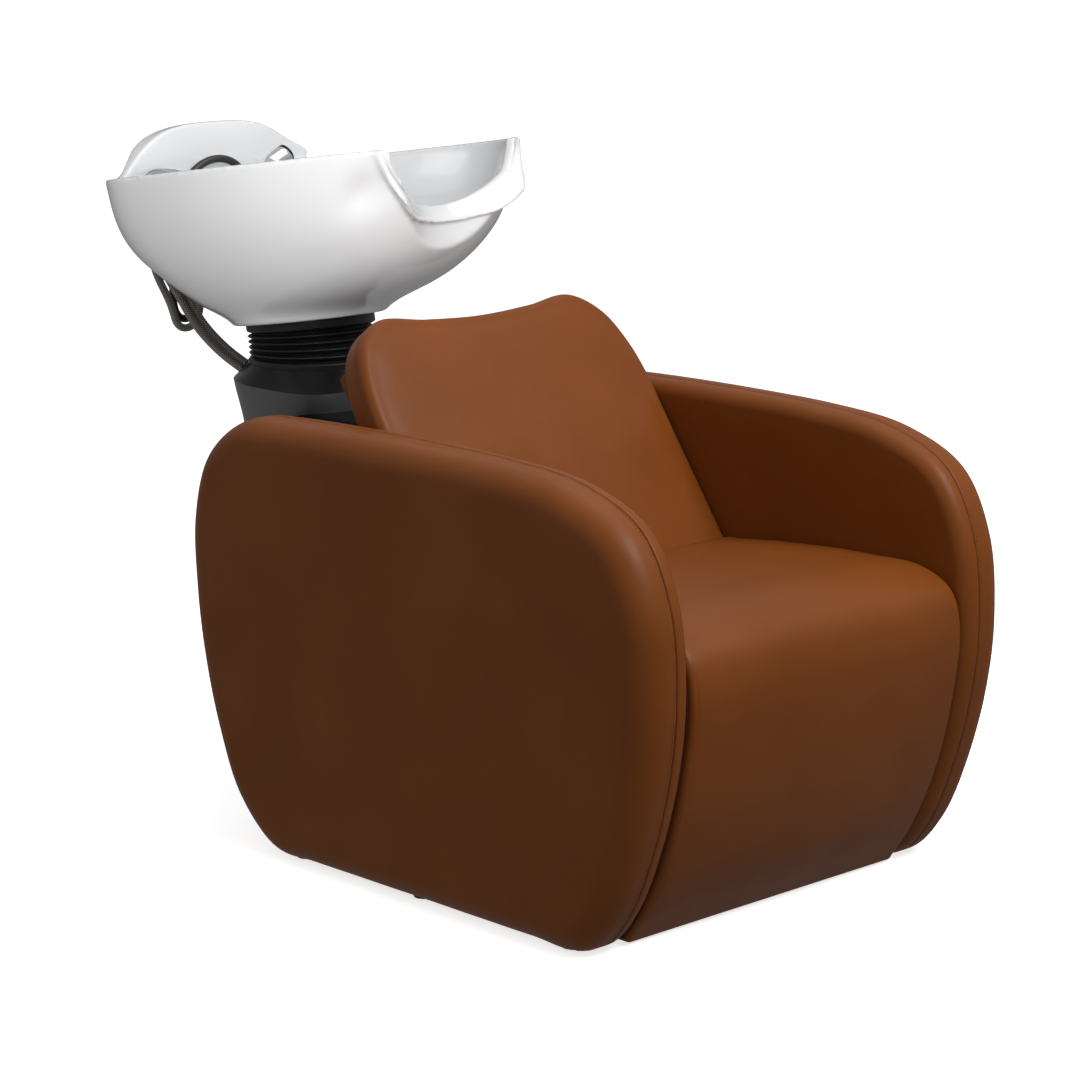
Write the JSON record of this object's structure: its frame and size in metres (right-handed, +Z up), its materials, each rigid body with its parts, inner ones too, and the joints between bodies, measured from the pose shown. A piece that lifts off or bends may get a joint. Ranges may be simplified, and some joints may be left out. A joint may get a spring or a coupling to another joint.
{
  "type": "shampoo backwash unit",
  "caption": "Upholstered shampoo chair with drum-shaped arms and, on a pedestal behind it, a tilting ceramic basin with mixer, hand shower and hoses.",
  "frame": {"origin": "the middle of the four floor anchors under the chair, on the floor", "axes": "+Z up, the chair faces -Y, +Y towards the basin, x = 0 is the middle plane"},
  "size_m": [0.675, 1.2415, 0.9265],
  "materials": {
    "tan_vinyl": "smooth satin upholstery vinyl",
    "plywood": "bare plywood",
    "black_steel": "black powder coat",
    "white_ceramic": "gloss white glaze",
    "grey_plastic": "satin grey ABS",
    "black_plastic": "satin black",
    "black_rubber": "matt",
    "chrome": "polished",
    "braid": "stainless braid",
    "zinc_steel": "zinc plated",
    "bronze": "plain bearing bronze",
    "white_plastic": "polypropylene",
    "grey_pvc": "corrugated hose and pipe"
  },
  "bodies": {
    "chair": {"anchor_plates": "black_steel", "arm_bolts": "zinc_steel", "back_board": "tan_vinyl", "back_cushion": "tan_vinyl", "back_panel": "tan_vinyl", "back_struts": "black_steel", "base_frame": "black_steel", "bellows": "black_rubber", "bridge_housing": "black_plastic", "cold_supply_hose": "braid", "column_foot": "black_steel", "column_frame": "black_steel", "friction_washers": "black_rubber", "front_board": "plywood", "glides": "black_plastic", "hose_grommet": "black_rubber", "hot_supply_hose": "braid", "left_arm_board": "plywood", "left_arm_inner_pad": "tan_vinyl", "left_arm_outer_pad": "tan_vinyl", "link_beams": "black_steel", "outlet_pipe": "grey_pvc", "panel_screws": "zinc_steel", "pedestal_cap": "black_plastic", "pedestal_collar": "grey_plastic", "pedestal_shell": "grey_plastic", "right_arm_board": "plywood", "right_arm_inner_pad": "tan_vinyl", "right_arm_outer_pad": "tan_vinyl", "seat_board": "plywood", "seat_cushion": "tan_vinyl", "seat_frame": "black_steel", "service_panel": "grey_plastic", "shell_brackets": "grey_plastic", "stop_valves": "chrome", "tilt_bushes": "bronze", "valve_bracket": "black_steel", "waste_hose": "grey_pvc", "waste_trap": "white_plastic"},
    "basin_unit": {"basin": "white_ceramic", "basin_gasket": "black_rubber", "basin_cradle": "black_steel", "cradle_bolts": "zinc_steel", "tilt_pins": "zinc_steel", "waste_body": "chrome", "waste_nut": "white_plastic", "mixer_body": "chrome", "mixer_nut": "chrome", "outlet_nipple": "chrome", "hose_bush": "chrome", "shower_holder": "chrome", "hand_shower_hose": "black_rubber", "mixer_outlet_hose": "braid"},
    "mixer_cap": {"mixer_cap": "chrome"},
    "mixer_lever": {"mixer_lever": "chrome"},
    "hand_shower": {"hand_shower": "chrome", "spray_face": "black_plastic"},
    "strainer": {"waste_strainer": "chrome"},
    "cold_handle": {"cold_valve_handle": "black_plastic"},
    "hot_handle": {"hot_valve_handle": "black_plastic"}
  },
  "joints": [
    {"name": "basin_tilt", "type": "hinge", "parent": "chair", "child": "basin_unit", "pos_m": [0, 0.54, 0.6], "axis": [-1, 0, 0], "range_deg": [-8.5, 6], "deforming": ["bellows", "cold_supply_hose", "hot_supply_hose", "waste_hose"]},
    {"name": "mixer_swivel", "type": "hinge", "parent": "basin_unit", "child": "mixer_cap", "pos_m": [-0.16, 0.70383, 0.84376], "axis": [0, 0.1478, 0.989], "range_deg": [-35, 45]},
    {"name": "mixer_lift", "type": "hinge", "parent": "mixer_cap", "child": "mixer_lever", "pos_m": [-0.16, 0.70501, 0.85167], "axis": [-1, 0, 0], "range_deg": [0, 22]},
    {"name": "hand_shower_lift", "type": "slide", "parent": "basin_unit", "child": "hand_shower", "axis": [0, 0.1478, 0.989], "range_m": [0, 0.08], "deforming": ["hand_shower_hose"]},
    {"name": "strainer_lift", "type": "slide", "parent": "basin_unit", "child": "strainer", "axis": [0, 0.1478, 0.989], "range_m": [0, 0.06]},
    {"name": "cold_valve_turn", "type": "hinge", "parent": "chair", "child": "cold_handle", "pos_m": [-0.047, 0.6, 0.19], "axis": [0, 1, 0], "range_deg": [0, 90]},
    {"name": "hot_valve_turn", "type": "hinge", "parent": "chair", "child": "hot_handle", "pos_m": [0.047, 0.6, 0.19], "axis": [0, 1, 0], "range_deg": [0, 90]}
  ]
}
